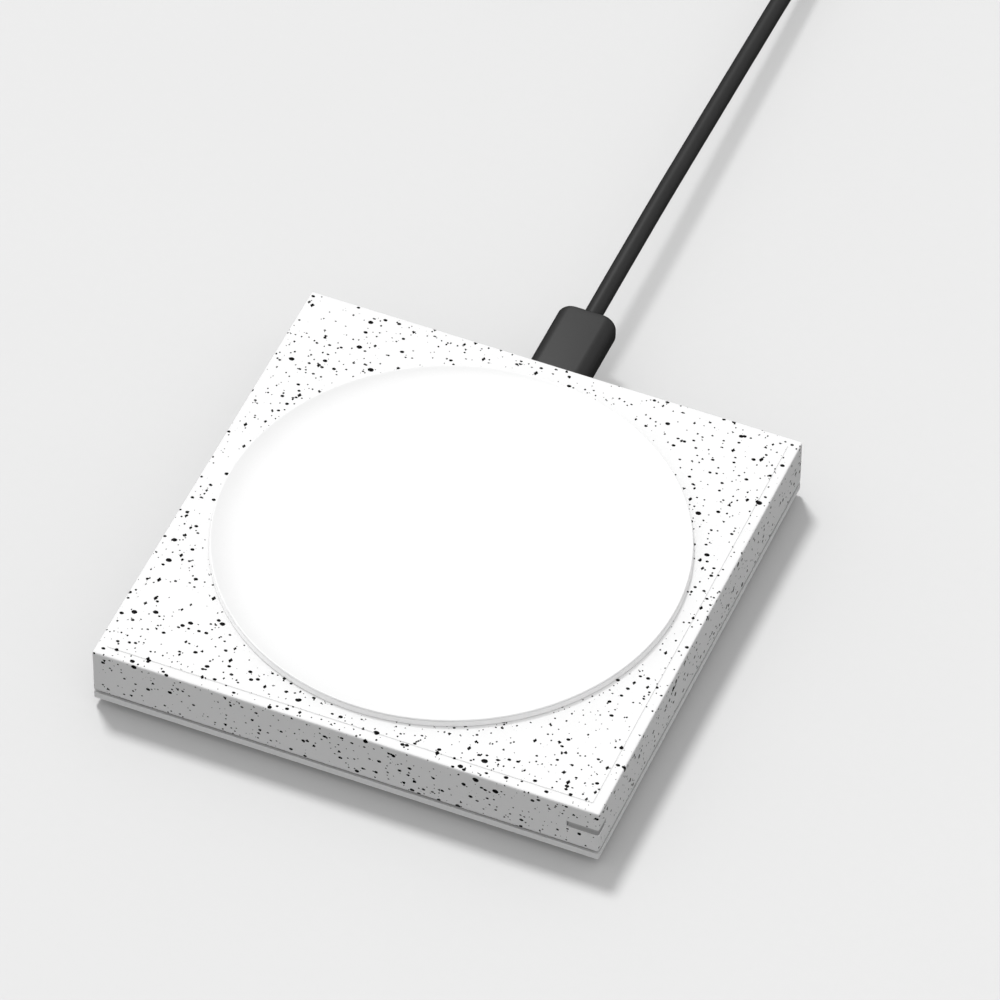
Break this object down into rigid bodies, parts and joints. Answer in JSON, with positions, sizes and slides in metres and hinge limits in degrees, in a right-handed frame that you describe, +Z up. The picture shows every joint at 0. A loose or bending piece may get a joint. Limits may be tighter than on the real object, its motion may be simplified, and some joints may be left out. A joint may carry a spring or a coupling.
{
  "type": "wireless charging pad",
  "caption": "Square speckled wireless charging pad with a raised round silicone disc, coil and board inside, and a plug-in cord with its spare length coiled behind it",
  "frame": {"origin": "on the surface the pad stands on, under the middle of the pad", "axes": "+Z up, +Y towards the back where the plug goes in, +X to the right"},
  "size_m": [0.1098, 0.3087, 0.0159],
  "materials": {
    "speckled_plastic": "moulded white plastic with black specks",
    "silicone": "smooth white silicone",
    "adhesive": "adhesive sheet",
    "base_plastic": "plain white moulded plastic",
    "rubber": "matt black rubber",
    "steel": "plated steel",
    "board": "green solder mask",
    "black_plastic": "moulded black",
    "ferrite": "dark sintered ferrite",
    "ceramic": "tan ceramic",
    "smoked_plastic": "smoked translucent plastic",
    "copper": "enamelled copper wire",
    "cord_black": "matt black flexible vinyl"
  },
  "bodies": {
    "pad": {"top_housing": "speckled_plastic", "charging_pad": "silicone", "pad_adhesive": "adhesive", "base_cover": "base_plastic", "rubber_foot_1": "rubber", "rubber_foot_2": "rubber", "rubber_foot_3": "rubber", "rubber_foot_4": "rubber", "case_screw_1": "steel", "case_screw_2": "steel", "case_screw_3": "steel", "case_screw_4": "steel", "circuit_board": "board", "usb_socket_shell": "steel", "usb_socket_tongue": "black_plastic", "controller_chip": "black_plastic", "power_chip_1": "black_plastic", "power_chip_2": "black_plastic", "filter_inductor": "ferrite", "resonant_capacitor_1": "ceramic", "resonant_capacitor_2": "ceramic", "resonant_capacitor_3": "ceramic", "resonant_capacitor_4": "ceramic", "status_led": "ceramic", "light_pipe": "smoked_plastic", "coil_carrier": "base_plastic", "ferrite_shield": "ferrite", "charging_coil": "copper", "coil_lead_1": "copper", "coil_lead_2": "copper", "thermistor": "black_plastic"},
    "cable": {"plug_body": "cord_black", "plug_shell": "steel", "cord_lead": "cord_black", "cord_coil": "cord_black", "cord_tail": "cord_black", "cord_tie": "rubber", "far_plug_body": "cord_black", "far_plug_shell": "steel", "far_plug_insert": "base_plastic"}
  },
  "joints": [
    {"name": "plug_pull", "type": "slide", "parent": "pad", "child": "cable", "axis": [0, 1, 0], "range_m": [0, 0.012]}
  ]
}
